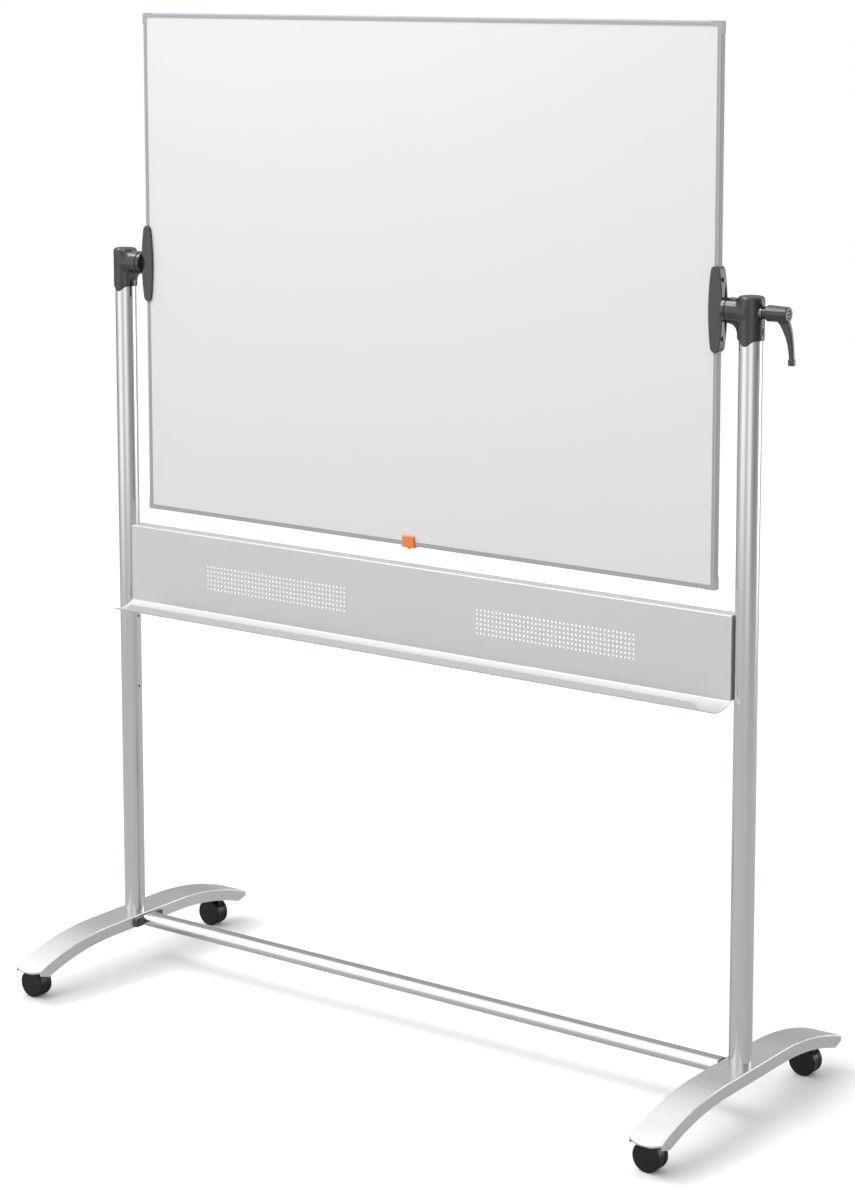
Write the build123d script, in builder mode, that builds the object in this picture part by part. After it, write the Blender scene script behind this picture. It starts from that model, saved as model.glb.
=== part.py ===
from build123d import *
from math import cos, radians, sin, sqrt
import os

os.makedirs("parts", exist_ok=True)

# Rolling whiteboard: a framed board that flips between two posts on arched
# feet with castors. X runs along the board, Y to the back, Z up. The floor is
# Z = 0 and the origin is midway between the posts.

# ---------------------------------------------------------------- dimensions
board_width = 1200.0
board_height = 900.0
board_half_thick = 6.0
rail_face = 8.0
rail_web = 3.0
rail_lip = 1.0
corner_arm = 20.0
sheet_thick = 0.8

pivot_z = 1318.0

post_x = 656.0
post_radius = 19.0
post_wall = 1.5
post_top_z = 1297.0
spare_hole_z = (660.0, 527.4)
spare_hole_radius = 2.3
bolt_radius = 5.0
bolt_washer_radius = 12.0
plug_height = 26.0
tray_screw_z = 797.0
tray_screw_radius = 2.0
housing_screw_z = 1287.5
housing_screw_radius = 3.0
housing_seat_radius = 5.5

foot_half_width = 30.5
foot_top_z = 95.5
foot_wall_height = 21.5
foot_plate = 3.0
foot_side_wall = 2.0
foot_flat_half = 92.0
foot_arc_radius = 542.0
foot_tip_y = 295.0
foot_blank_y = 298.0
foot_corner_y = 285.0
foot_under_y = 264.0

castor_front_y = -256.0
castor_back_y = 235.0
castor_trail = 10.0
wheel_radius = 25.0
wheel_outer_y = 14.5
wheel_inner_y = 5.6
hood_half_width = 5.2
hood_top_z = 52.0
axle_radius = 3.0
axle_half_length = 12.5
stem_radius = 3.5
stem_top_z = 63.5
socket_radius = 11.0
socket_low_z = 53.8

bar_depth = 36.0
bar_height = 22.5
bar_wall = 2.0
bar_z = 83.0
bar_plate = 5.0
bar_plate_half = 37.5
bar_plate_height = 16.8
bar_screw_y = 28.0
bar_screw_radius = 3.0
bar_screw_head = 4.9

tray_half = 637.0
tray_face_y = -15.0
tray_thick = 1.2
tray_top_z = 834.0
tray_low_z = 695.5
tray_back_y = 12.0
hole_pitch = 8.0
hole_radius = 1.9
hole_columns = 40
hole_rows = 6
hole_field_x = 298.0
hole_field_z = 758.0

sleeve_radius = 21.3
sleeve_top_z = 1344.0
sleeve_side_z = 1273.0
sleeve_lobe_z = 1264.3
web_reach = 17.0
web_drop = 13.0
web_half_y = 9.0
boss_radius = 20.3
boss_end_x = 617.5
bush_radius = 10.0
shaft_radius = 8.0
shaft_end_x = 649.0
running_gap = 0.05
free_gap = 0.35

bracket_x = 608.6
bracket_inner_x = 582.6
bracket_half_height = 68.7
bracket_web_x = 606.0
bracket_plate_y = 9.4
bracket_tip_drop = 7.0
bracket_tip_in = 4.2
bracket_tip_out = 5.0
bracket_screw_dz = 47.0
hub_disc_radius = 19.6
hub_disc_end_x = 616.0

stud_radius = 4.0
stud_head_radius = 7.0
washer_radius = 11.2
washer_end_x = 679.6
collar_end_x = 685.8
hub_start_x = 686.2
hub_end_x = 723.0
hub_radius = 13.0
knob_centre_x = 729.2
knob_low_z = 1238.6
knob_top_z = 1249.0
knob_half_x = 4.9
knob_half_y = 4.4
lever_half_y = 3.9

foot_arc_z = foot_top_z - foot_arc_radius
board_low_z = pivot_z - board_height / 2
board_top_z = pivot_z + board_height / 2


# ------------------------------------------------------------------- helpers
def save(solid, name):
    """Names one sub-part and writes its STEP file."""
    solid.label = name
    export_step(solid, "parts/" + name + ".step")


def bar_x(radius, x0, x1, y, z, mode=Mode.ADD):
    """Round bar along X in the active part."""
    with Locations(((x0 + x1) / 2, y, z)):
        Cylinder(radius, abs(x1 - x0), rotation=(0, 90, 0), mode=mode)


def bar_y(radius, x, y0, y1, z, mode=Mode.ADD):
    """Round bar along Y in the active part."""
    with Locations((x, (y0 + y1) / 2, z)):
        Cylinder(radius, abs(y1 - y0), rotation=(90, 0, 0), mode=mode)


def bar_z_axis(radius, x, y, z0, z1, mode=Mode.ADD):
    """Round bar along Z in the active part."""
    with Locations((x, y, (z0 + z1) / 2)):
        Cylinder(radius, abs(z1 - z0), mode=mode)


def block(x0, x1, y0, y1, z0, z1, mode=Mode.ADD):
    """Rectangular block in the active part."""
    with Locations(((x0 + x1) / 2, (y0 + y1) / 2, (z0 + z1) / 2)):
        Box(abs(x1 - x0), abs(y1 - y0), abs(z1 - z0), mode=mode)


def left_of(solid):
    """The same sub-part on the other side of the board."""
    return mirror(solid, about=Plane.YZ)


def save_pair(solid, name):
    """Writes a right-hand sub-part and its mirrored left-hand twin."""
    save(left_of(solid), name + "_left")
    save(solid, name + "_right")


# --------------------------------------------------------------------- posts
inner_face = post_x - post_radius
outer_face = post_x + post_radius

with BuildPart() as post:
    bar_z_axis(post_radius, post_x, 0, foot_top_z, post_top_z)
    bar_z_axis(post_radius - post_wall, post_x, 0, foot_top_z, post_top_z, Mode.SUBTRACT)
    for hole_z in spare_hole_z:
        bar_x(spare_hole_radius, inner_face - 1, inner_face + 4, 0, hole_z, Mode.SUBTRACT)
    bar_x(tray_screw_radius, inner_face - 1, inner_face + 4, 0, tray_screw_z, Mode.SUBTRACT)
    bar_x(housing_screw_radius, outer_face - 4, outer_face + 1, 0, housing_screw_z, Mode.SUBTRACT)
save_pair(post.part, "post")

with BuildPart() as post_plugs:
    for side in (-1, 1):
        bar_z_axis(post_radius - post_wall, side * post_x, 0, foot_top_z, foot_top_z + plug_height)
        bar_z_axis(bolt_radius, side * post_x, 0, foot_top_z, foot_top_z + 20, Mode.SUBTRACT)
save(post_plugs.part, "post_plugs")

with BuildPart() as post_bolts:
    for side in (-1, 1):
        under_z = foot_top_z - foot_plate
        bar_z_axis(bolt_radius, side * post_x, 0, under_z - 1.6, foot_top_z + 18)
        bar_z_axis(bolt_washer_radius, side * post_x, 0, under_z - 1.6, under_z)
        with BuildSketch(Plane.XY.offset(under_z - 8.0)):
            with Locations((side * post_x, 0)):
                RegularPolygon(radius=9.2, side_count=6)
        extrude(amount=6.4)
save(post_bolts.part, "post_bolts")


# ---------------------------------------------------------------------- feet
def arch_z(y, radius):
    """Height of a foot curve of the given radius at a distance from the post."""
    past = max(abs(y) - foot_flat_half, 0.0)
    return foot_arc_z + sqrt(radius**2 - past**2)


def arch_curve(y_end, radius):
    """Foot curve from its front end to its back end, flat in the middle."""
    turn = 0.5 * (y_end - foot_flat_half)
    mid_y = foot_flat_half + turn
    top_z = foot_arc_z + radius
    end_z = arch_z(y_end, radius)
    mid_z = arch_z(mid_y, radius)
    ThreePointArc((-y_end, end_z), (-mid_y, mid_z), (-foot_flat_half, top_z))
    Line((-foot_flat_half, top_z), (foot_flat_half, top_z))
    ThreePointArc((foot_flat_half, top_z), (mid_y, mid_z), (y_end, end_z))


wall_radius = foot_arc_radius - foot_wall_height
plate_radius = foot_arc_radius - foot_plate

with BuildPart() as foot:
    with BuildSketch(Plane.YZ.offset(post_x - foot_half_width)) as foot_side:
        with BuildLine():
            arch_curve(foot_blank_y, foot_arc_radius)
            arch_curve(foot_under_y, wall_radius)
            for end in (-1, 1):
                Line(
                    (end * foot_blank_y, arch_z(foot_blank_y, foot_arc_radius)),
                    (end * foot_under_y, arch_z(foot_under_y, wall_radius)),
                )
        make_face()
    extrude(amount=2 * foot_half_width)
    top_edges = foot.edges().filter_by(
        lambda e: e.center().Z > arch_z(e.center().Y, foot_arc_radius) - 1.0
        and abs(abs(e.center().X - post_x) - foot_half_width) < 0.1
        and abs(e.center().Y) < foot_tip_y - 8
    )
    fillet(top_edges, radius=1.6)
    with BuildSketch(Plane.YZ.offset(post_x - foot_half_width + foot_side_wall)):
        with BuildLine():
            arch_curve(foot_tip_y + 4, plate_radius)
            Polyline(
                (-foot_tip_y - 4, arch_z(foot_tip_y + 4, plate_radius)),
                (-foot_tip_y - 4, 20),
                (foot_tip_y + 4, 20),
                (foot_tip_y + 4, arch_z(foot_tip_y + 4, plate_radius)),
            )
        make_face()
    extrude(amount=2 * (foot_half_width - foot_side_wall), mode=Mode.SUBTRACT)
    with BuildSketch(Plane.XY):
        with BuildLine():
            x0 = post_x - foot_half_width
            x1 = post_x + foot_half_width
            ThreePointArc((x0, -foot_corner_y), (post_x, -foot_tip_y), (x1, -foot_corner_y))
            Line((x1, -foot_corner_y), (x1, foot_corner_y))
            ThreePointArc((x1, foot_corner_y), (post_x, foot_tip_y), (x0, foot_corner_y))
            Line((x0, foot_corner_y), (x0, -foot_corner_y))
        make_face()
    extrude(amount=150, mode=Mode.INTERSECT)
    bar_z_axis(bolt_radius + 0.1, post_x, 0, foot_top_z - 15, foot_top_z + 5, Mode.SUBTRACT)
    for screw_y in (-bar_screw_y, bar_screw_y):
        bar_x(bar_screw_radius, post_x - 32, post_x - 27, screw_y, bar_z, Mode.SUBTRACT)
save_pair(foot.part, "foot")

castor_places = (
    (-1, castor_front_y, "left_front"),
    (-1, castor_back_y, "left_back"),
    (1, castor_front_y, "right_front"),
    (1, castor_back_y, "right_back"),
)

with BuildPart() as castor_sockets:
    for side, y, place_name in castor_places:
        bar_z_axis(socket_radius, side * post_x, y, socket_low_z, socket_low_z + 23.0)
    for y in (castor_front_y, castor_back_y):
        with BuildSketch(Plane.YZ.offset(-post_x - 20)):
            with BuildLine():
                end = 1 if y > 0 else -1
                inner = abs(y) - 2 * socket_radius
                outer = abs(y) + 2 * socket_radius
                ThreePointArc(
                    (end * inner, arch_z(inner, plate_radius)),
                    (y, arch_z(y, plate_radius)),
                    (end * outer, arch_z(outer, plate_radius)),
                )
                Polyline(
                    (end * inner, arch_z(inner, plate_radius)),
                    (end * inner, foot_top_z),
                    (end * outer, foot_top_z),
                    (end * outer, arch_z(outer, plate_radius)),
                )
            make_face()
        extrude(amount=2 * post_x + 40, mode=Mode.SUBTRACT)
    for side, y, place_name in castor_places:
        bore_top_z = stem_top_z + 0.5
        bore_radius = stem_radius + running_gap
        bar_z_axis(bore_radius, side * post_x, y, socket_low_z - 1, bore_top_z, Mode.SUBTRACT)
save(castor_sockets.part, "castor_sockets")


# ------------------------------------------------------------------- castors
def castor_hood(x, y):
    """Thin body between the two wheels, open below, with a stem boss on top."""
    cx = x - castor_trail
    with BuildPart() as hood:
        bar_y(wheel_radius - 1.2, cx, y - hood_half_width, y + hood_half_width, wheel_radius)
        block(cx - 30, cx + 30, y - 20, y + 20, -5, 9, Mode.SUBTRACT)
        block(cx - 30, cx - 11, y - 20, y + 20, -5, 24, Mode.SUBTRACT)
        block(x - 7, x + 7, y - hood_half_width, y + hood_half_width, 34, wheel_top_z)
        bar_z_axis(7.5, x, y, wheel_top_z, hood_top_z)
        bar_y(axle_radius + running_gap, cx, y - 20, y + 20, wheel_radius, Mode.SUBTRACT)
        bar_z_axis(stem_radius, x, y, 38.0, hood_top_z + 1, Mode.SUBTRACT)
    return hood.part


def castor_stem(x, y):
    """Steel swivel pin with a shoulder under the socket."""
    with BuildPart() as stem:
        bar_z_axis(stem_radius, x, y, 38.0, stem_top_z)
        bar_z_axis(5.5, x, y, hood_top_z, hood_top_z + 1.1)
        chamfer(stem.edges().group_by(Axis.Z)[-1], length=0.8)
    return stem.part


def castor_wheels(x, y):
    """Two wheels with closed, faintly dished faces and rounded tread edges."""
    cx = x - castor_trail
    with BuildPart() as wheels:
        for end in (-1, 1):
            face_y = y + end * wheel_outer_y
            inner_y = y + end * wheel_inner_y
            bore_y = y + end * axle_half_length
            with BuildSketch(Plane.XY.offset(wheel_radius)):
                with BuildLine():
                    p0 = (cx, bore_y)
                    p1 = (cx + axle_radius, bore_y)
                    p2 = (cx + axle_radius, inner_y)
                    p3 = (cx + wheel_radius - 1.0, inner_y)
                    p4 = (cx + wheel_radius, inner_y + end * 1.0)
                    p5 = (cx + wheel_radius, face_y - end * 2.5)
                    p6 = (cx + wheel_radius - 2.5, face_y)
                    p7 = (cx + 19.5, face_y)
                    p8 = (cx + 19.0, face_y - end * 0.4)
                    p9 = (cx, face_y - end * 0.4)
                    Polyline(p0, p1, p2, p3, p4, p5)
                    RadiusArc(p5, p6, -end * 2.5)
                    Polyline(p6, p7, p8, p9, p0)
                make_face()
            revolve(axis=Axis((cx, y, wheel_radius), (0, 1, 0)))
    return wheels.part


def castor_axle(x, y):
    """Axle pin pressed into both wheels and turning in the hood."""
    cx = x - castor_trail
    with BuildPart() as axle:
        bar_y(axle_radius, cx, y - axle_half_length, y + axle_half_length, wheel_radius)
    return axle.part


wheel_top_z = 2 * wheel_radius + 0.4

for side, y, place_name in castor_places:
    place = "castor_" + place_name
    save(castor_hood(side * post_x, y), place + "_hood")
    save(castor_stem(side * post_x, y), place + "_stem")
    save(castor_wheels(side * post_x, y), place + "_wheels")
    save(castor_axle(side * post_x, y), place + "_axle")


# ------------------------------------------------------------------ crossbar
bar_plate_x = post_x - foot_half_width
bar_half = bar_plate_x - bar_plate

with BuildPart() as crossbar:
    with BuildSketch(Plane.YZ.offset(-bar_half)):
        with Locations((0, bar_z)):
            SlotOverall(bar_depth, bar_height)
            SlotOverall(bar_depth - 2 * bar_wall, bar_height - 2 * bar_wall, mode=Mode.SUBTRACT)
        with Locations((-bar_depth / 2, bar_z + 1.0), (bar_depth / 2, bar_z + 1.0)):
            Rectangle(1.6, 1.6, mode=Mode.SUBTRACT)
    extrude(amount=2 * bar_half)
save(crossbar.part, "crossbar")

with BuildPart() as bar_end:
    with BuildSketch(Plane.YZ.offset(bar_half)):
        with Locations((0, bar_z)):
            RectangleRounded(2 * bar_plate_half, bar_plate_height, 4.0)
    extrude(amount=bar_plate)
    with BuildSketch(Plane.YZ.offset(bar_half)):
        with Locations((-bar_screw_y, bar_z), (bar_screw_y, bar_z)):
            SlotOverall(13.0, 11.0, rotation=90)
    extrude(amount=1.2, mode=Mode.SUBTRACT)
    for screw_y in (-bar_screw_y, bar_screw_y):
        bar_x(bar_screw_radius, bar_half - 1, bar_plate_x + 1, screw_y, bar_z, Mode.SUBTRACT)
save_pair(bar_end.part, "crossbar_bracket")

with BuildPart() as bar_screws:
    for side in (-1, 1):
        for screw_y in (-bar_screw_y, bar_screw_y):
            seat_x = bar_half + 1.2
            bar_x(bar_screw_radius, side * seat_x, side * (bar_plate_x + 9.0), screw_y, bar_z)
            bar_x(bar_screw_head, side * (seat_x - 2.4), side * seat_x, screw_y, bar_z)
            bar_x(1.8, side * (seat_x - 3), side * (seat_x - 1.2), screw_y, bar_z, Mode.SUBTRACT)
save(bar_screws.part, "crossbar_screws")

with BuildPart() as bar_nuts:
    for side in (-1, 1):
        nut_x = bar_plate_x + foot_side_wall
        for screw_y in (-bar_screw_y, bar_screw_y):
            with BuildSketch(Plane.YZ.offset(nut_x if side > 0 else -nut_x - 5.0)):
                with Locations((screw_y, bar_z)):
                    RegularPolygon(radius=5.7, side_count=6)
                    Circle(bar_screw_radius, mode=Mode.SUBTRACT)
            extrude(amount=5.0)
save(bar_nuts.part, "crossbar_nuts")


# ---------------------------------------------------------------------- tray
def strip_face(y, z, heading, steps, thick):
    """Edges of a bent sheet's section, walked from one end to the other.

    Each step is a straight length, or a bend given as (radius, turn in degrees)
    with a positive turn to the left. Returns both sides as lists of edges.
    """
    sides = ([], [])
    half = thick / 2
    ends = []
    for step in steps:
        for which, offset in ((0, half), (1, -half)):
            normal = radians(heading + 90)
            start = (y + offset * cos(normal), z + offset * sin(normal))
            if isinstance(step, tuple):
                radius, turn = step
                hand = 1 if turn > 0 else -1
                cy = y + hand * radius * cos(normal)
                cz = z + hand * radius * sin(normal)
                reach = radius - hand * offset
                mid_out = radians(heading + turn / 2 - hand * 90)
                end_out = radians(heading + turn - hand * 90)
                middle = (cy + reach * cos(mid_out), cz + reach * sin(mid_out))
                finish = (cy + reach * cos(end_out), cz + reach * sin(end_out))
                sides[which].append(("arc", start, middle, finish))
            else:
                run = radians(heading)
                finish = (start[0] + step * cos(run), start[1] + step * sin(run))
                sides[which].append(("line", start, finish))
        if isinstance(step, tuple):
            radius, turn = step
            hand = 1 if turn > 0 else -1
            normal = radians(heading + 90)
            cy = y + hand * radius * cos(normal)
            cz = z + hand * radius * sin(normal)
            out = radians(heading + turn - hand * 90)
            y = cy + radius * cos(out)
            z = cz + radius * sin(out)
            heading += turn
        else:
            y += step * cos(radians(heading))
            z += step * sin(radians(heading))
    for side in sides:
        ends.append((side[0][1], side[-1][-1]))
    return sides[0] + sides[1] + [("line", ends[0][0], ends[1][0]), ("line", ends[0][1], ends[1][1])]


def draw(edges):
    """Draws the section's edges in the active line."""
    for edge in edges:
        if edge[0] == "arc":
            ThreePointArc(edge[1], edge[2], edge[3])
        else:
            Line(edge[1], edge[2])


sheet_y = tray_face_y + tray_thick / 2
sheet_top_z = tray_top_z - tray_thick / 2
panel_steps = (tray_back_y - sheet_y - 1.8, (1.8, 90), sheet_top_z - 1.8 - tray_low_z)
trough_steps = ((2.0, -59), (68.0, -41), (2.5, -80), 10.5)

with BuildPart() as tray_panel:
    with BuildSketch(Plane.YZ.offset(-tray_half)):
        with BuildLine():
            draw(strip_face(tray_back_y, sheet_top_z, 180, panel_steps, tray_thick))
        make_face()
    extrude(amount=2 * tray_half)
    with BuildSketch(Plane.XZ.offset(-tray_face_y + 1)):
        for field_x in (-hole_field_x, hole_field_x):
            with Locations((field_x, hole_field_z)):
                with GridLocations(hole_pitch, hole_pitch, hole_columns, hole_rows):
                    Circle(hole_radius)
    extrude(amount=-4, mode=Mode.SUBTRACT)
save(tray_panel.part, "tray_panel")

with BuildPart() as pen_trough:
    with BuildSketch(Plane.YZ.offset(-tray_half)):
        with BuildLine():
            draw(strip_face(sheet_y, tray_low_z, 270, trough_steps, tray_thick))
        make_face()
    extrude(amount=2 * tray_half)
    lip_top_z = tray_low_z + 3.0
    for side in (-1, 1):
        with BuildSketch(Plane.XZ.offset(55)):
            with BuildLine():
                Spline(
                    (side * (tray_half - 46), lip_top_z + 0.6),
                    (side * (tray_half - 33), tray_low_z - 3.6),
                    (side * (tray_half - 18), tray_low_z - 8.6),
                    tangents=((side * 1, 0), (side * 1, 0)),
                )
                Polyline(
                    (side * (tray_half - 46), lip_top_z + 0.6),
                    (side * (tray_half - 46), lip_top_z + 9),
                    (side * (tray_half + 5), lip_top_z + 9),
                    (side * (tray_half + 5), tray_low_z - 8.6),
                    (side * (tray_half - 18), tray_low_z - 8.6),
                )
            make_face()
        extrude(amount=20, mode=Mode.SUBTRACT)
save(pen_trough.part, "pen_trough")

with BuildPart() as tray_end:
    back_y = tray_face_y + tray_thick
    top_z = sheet_top_z - 2.0
    block(634.0, tray_half, back_y, tray_back_y - 0.5, tray_low_z, top_z)
    block(618.0, tray_half, back_y, back_y + 2.5, tray_low_z, top_z)
    bar_x(tray_screw_radius, tray_half - 7, tray_half + 3, 0, tray_screw_z, Mode.SUBTRACT)
save_pair(tray_end.part, "tray_bracket")

with BuildPart() as tray_screws:
    for side in (-1, 1):
        bar_x(tray_screw_radius, side * 634.0, side * 641.0, 0, tray_screw_z)
        bar_x(4.0, side * 631.8, side * 634.0, 0, tray_screw_z)
        bar_x(1.4, side * 631.0, side * 632.9, 0, tray_screw_z, Mode.SUBTRACT)
save(tray_screws.part, "tray_screws")


# ------------------------------------------------------------ pivot housings
def housing(with_stud):
    """Right-hand T-shaped housing: a sleeve over the post and a boss to the board."""
    with BuildPart() as shell:
        bar_z_axis(sleeve_radius, post_x, 0, sleeve_lobe_z, sleeve_top_z)
        fillet(shell.edges().group_by(Axis.Z)[-1], radius=4.5)
        bar_x(boss_radius, boss_end_x, post_x, 0, pivot_z)
        with BuildSketch(Plane.XZ.offset(-web_half_y)):
            with BuildLine():
                web_x = post_x - sleeve_radius + 1.5
                web_z = pivot_z - boss_radius + 1.5
                web_end = (web_x - web_reach, web_z)
                web_low = (web_x, web_z - web_drop)
                web_mid = (web_x - 0.39 * web_reach, web_z - 0.35 * web_drop)
                Line((web_x, web_z), web_end)
                Line((web_x, web_z), web_low)
                ThreePointArc(web_end, web_mid, web_low)
            make_face()
        extrude(amount=2 * web_half_y)
        with BuildSketch(Plane.XZ.offset(-40)):
            with BuildLine():
                lobe_mid_z = (sleeve_side_z + sleeve_lobe_z) / 2
                Spline(
                    (post_x - 15, sleeve_side_z),
                    (post_x - 8, lobe_mid_z),
                    (post_x, sleeve_lobe_z),
                    (post_x + 8, lobe_mid_z),
                    (post_x + 15, sleeve_side_z),
                    tangents=((1, 0), (1, 0)),
                )
                Polyline(
                    (post_x - 15, sleeve_side_z),
                    (post_x - 40, sleeve_side_z),
                    (post_x - 40, sleeve_lobe_z - 20),
                    (post_x + 40, sleeve_lobe_z - 20),
                    (post_x + 40, sleeve_side_z),
                    (post_x + 15, sleeve_side_z),
                )
            make_face()
        extrude(amount=80, mode=Mode.SUBTRACT)
        bar_z_axis(post_radius, post_x, 0, sleeve_lobe_z - 5, post_top_z, Mode.SUBTRACT)
        bar_x(bush_radius, boss_end_x - 1, shaft_end_x + 1, 0, pivot_z, Mode.SUBTRACT)
        bar_x(housing_seat_radius, post_x + 10, post_x + 30, 0, housing_screw_z, Mode.SUBTRACT)
        if with_stud:
            bar_x(stud_radius + 0.3, shaft_end_x, post_x + 30, 0, pivot_z, Mode.SUBTRACT)
    return shell.part


save(left_of(housing(False)), "pivot_housing_left")
save(housing(True), "pivot_housing_right")

with BuildPart() as housing_screws:
    for side in (-1, 1):
        bar_x(5.2, side * (post_x + 15), side * (post_x + 20.6), 0, housing_screw_z)
        bar_z_axis(post_radius, side * post_x, 0, 1270, 1300, Mode.SUBTRACT)
    for side in (-1, 1):
        bar_x(housing_screw_radius, side * (post_x + 12), side * (post_x + 19.5), 0, housing_screw_z)
        bar_x(2.2, side * (post_x + 19.7), side * (post_x + 25), 0, housing_screw_z, Mode.SUBTRACT)
save(housing_screws.part, "housing_screws")

with BuildPart() as pivot_bushes:
    for side in (-1, 1):
        bar_x(bush_radius, side * boss_end_x, side * (shaft_end_x + 1), 0, pivot_z)
        bar_x(shaft_radius + running_gap, side * 600, side * (shaft_end_x + 2), 0, pivot_z, Mode.SUBTRACT)
save(pivot_bushes.part, "pivot_bushes")

with BuildPart() as friction_rings:
    for side in (-1, 1):
        bar_x(18.5, side * (hub_disc_end_x + free_gap), side * boss_end_x, 0, pivot_z)
        bar_x(shaft_radius + 0.5, side * 600, side * 640, 0, pivot_z, Mode.SUBTRACT)
save(friction_rings.part, "friction_rings")

with BuildPart() as clamp_washer:
    bar_x(washer_radius, post_x + 14, washer_end_x, 0, pivot_z)
    bar_z_axis(sleeve_radius, post_x, 0, pivot_z - 20, pivot_z + 20, Mode.SUBTRACT)
    bar_x(stud_radius + 0.3, post_x, washer_end_x + 1, 0, pivot_z, Mode.SUBTRACT)
save(clamp_washer.part, "clamp_washer")


# --------------------------------------------------------------------- board
panel_half_x = board_width / 2 - rail_web - 0.3
panel_half_z = board_height / 2 - rail_web - 0.3
panel_y = board_half_thick - rail_lip

with BuildPart() as board_core:
    with Locations((0, 0, pivot_z)):
        Box(2 * panel_half_x, 2 * (panel_y - sheet_thick), 2 * panel_half_z)
save(board_core.part, "board_core")

with BuildPart() as board_front:
    with Locations((0, -panel_y + sheet_thick / 2, pivot_z)):
        Box(2 * panel_half_x, sheet_thick, 2 * panel_half_z)
save(board_front.part, "board_face_front")

with BuildPart() as board_back:
    with Locations((0, panel_y - sheet_thick / 2, pivot_z)):
        Box(2 * panel_half_x, sheet_thick, 2 * panel_half_z)
save(board_back.part, "board_face_back")


def rail_section(thick_extra):
    """Section of the frame rail: outer face at y = 0, board side at y = rail_face.

    Drawn with x across the board's thickness and y towards the board's middle.
    """
    half = board_half_thick + thick_extra
    with BuildSketch() as section:
        with Locations((0, rail_face / 2)):
            RectangleRounded(2 * half, rail_face, 2.4)
        with Locations((0, rail_face - 2.5)):
            Rectangle(2 * half, 5.0)
        with Locations((0, rail_web + (rail_face - rail_web) / 2 + 0.5)):
            Rectangle(2 * panel_y, rail_face - rail_web + 1.0, mode=Mode.SUBTRACT)
        with Locations((-half, rail_face - 2.2), (half, rail_face - 2.2)):
            Rectangle(0.8, 0.7, mode=Mode.SUBTRACT)
        with Locations((-1.8, 0), (1.8, 0)):
            Rectangle(0.8, 0.8, mode=Mode.SUBTRACT)
    return section.sketch


rail_shape = rail_section(0.0)
rail_run_x = board_width / 2 - corner_arm
rail_run_z = board_height / 2 - corner_arm
bottom_plane = Plane(origin=(-rail_run_x, 0, board_low_z), x_dir=(0, 1, 0), z_dir=(1, 0, 0))
top_plane = Plane(origin=(-rail_run_x, 0, board_top_z), x_dir=(0, -1, 0), z_dir=(1, 0, 0))
side_plane = Plane(
    origin=(board_width / 2, 0, pivot_z - rail_run_z), x_dir=(0, 1, 0), z_dir=(0, 0, 1)
)

with BuildPart() as rail_bottom:
    add(extrude(bottom_plane * rail_shape, amount=2 * rail_run_x, dir=(1, 0, 0), mode=Mode.PRIVATE))
save(rail_bottom.part, "rail_bottom")

with BuildPart() as rail_top:
    add(extrude(top_plane * rail_shape, amount=2 * rail_run_x, dir=(1, 0, 0), mode=Mode.PRIVATE))
save(rail_top.part, "rail_top")

with BuildPart() as rail_side:
    add(extrude(side_plane * rail_shape, amount=2 * rail_run_z, dir=(0, 0, 1), mode=Mode.PRIVATE))
    for dz in (-bracket_screw_dz, bracket_screw_dz):
        bar_x(2.0, board_width / 2 - 5, board_width / 2 + 5, 0, pivot_z + dz, Mode.SUBTRACT)
save_pair(rail_side.part, "rail")

with BuildPart() as frame_corners:
    for side in (-1, 1):
        for level in (-1, 1):
            edge_x = side * board_width / 2
            edge_z = pivot_z + level * board_height / 2
            inner_x = edge_x - side * corner_arm
            inner_z = edge_z - level * corner_arm
            block(edge_x, inner_x, -board_half_thick - 0.25, board_half_thick + 0.25, edge_z, inner_z)
    fillet(frame_corners.edges().filter_by(Axis.Y).group_by(SortBy.DISTANCE)[-1], radius=4.0)
    block(
        -board_width / 2 + rail_face,
        board_width / 2 - rail_face,
        -10,
        10,
        board_low_z + rail_face,
        board_top_z - rail_face,
        Mode.SUBTRACT,
    )
    block(
        -board_width / 2 + rail_web,
        board_width / 2 - rail_web,
        -panel_y,
        panel_y,
        board_low_z + rail_web,
        board_top_z - rail_web,
        Mode.SUBTRACT,
    )
save(frame_corners.part, "frame_corners")


# ------------------------------------------------------------- edge brackets
with BuildPart() as edge_bracket:
    with BuildSketch(Plane.XZ.offset(-bracket_plate_y)):
        with BuildLine():
            high = bracket_half_height
            p_in = (bracket_inner_x, pivot_z)
            p_out = (bracket_x, pivot_z)
            tip = high - bracket_tip_drop
            in_top = (bracket_inner_x + bracket_tip_in, pivot_z + tip)
            out_top = (bracket_x - bracket_tip_out, pivot_z + tip)
            in_low = (bracket_inner_x + bracket_tip_in, pivot_z - tip)
            out_low = (bracket_x - bracket_tip_out, pivot_z - tip)
            mid_x = (in_top[0] + out_top[0]) / 2
            ThreePointArc(in_low, p_in, in_top)
            ThreePointArc(out_low, p_out, out_top)
            ThreePointArc(in_top, (mid_x, pivot_z + high), out_top)
            ThreePointArc(in_low, (mid_x, pivot_z - high), out_low)
        make_face()
    extrude(amount=2 * bracket_plate_y)
    block(
        bracket_inner_x - 5,
        board_width / 2,
        -board_half_thick,
        board_half_thick,
        pivot_z - 90,
        pivot_z + 90,
        Mode.SUBTRACT,
    )
    block(
        bracket_web_x,
        bracket_x + 5,
        -board_half_thick,
        board_half_thick,
        pivot_z - 90,
        pivot_z + 90,
        Mode.SUBTRACT,
    )
    outline = edge_bracket.edges().filter_by(
        lambda e: abs(abs(e.center().Y) - bracket_plate_y) < 0.05
    )
    fillet(outline, radius=1.5)
    bar_x(5.5, board_width / 2 - 1, bracket_x + 1, 0, pivot_z, Mode.SUBTRACT)
    for dz in (-bracket_screw_dz, bracket_screw_dz):
        bar_x(2.0, board_width / 2 - 1, bracket_x + 1, 0, pivot_z + dz, Mode.SUBTRACT)
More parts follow.
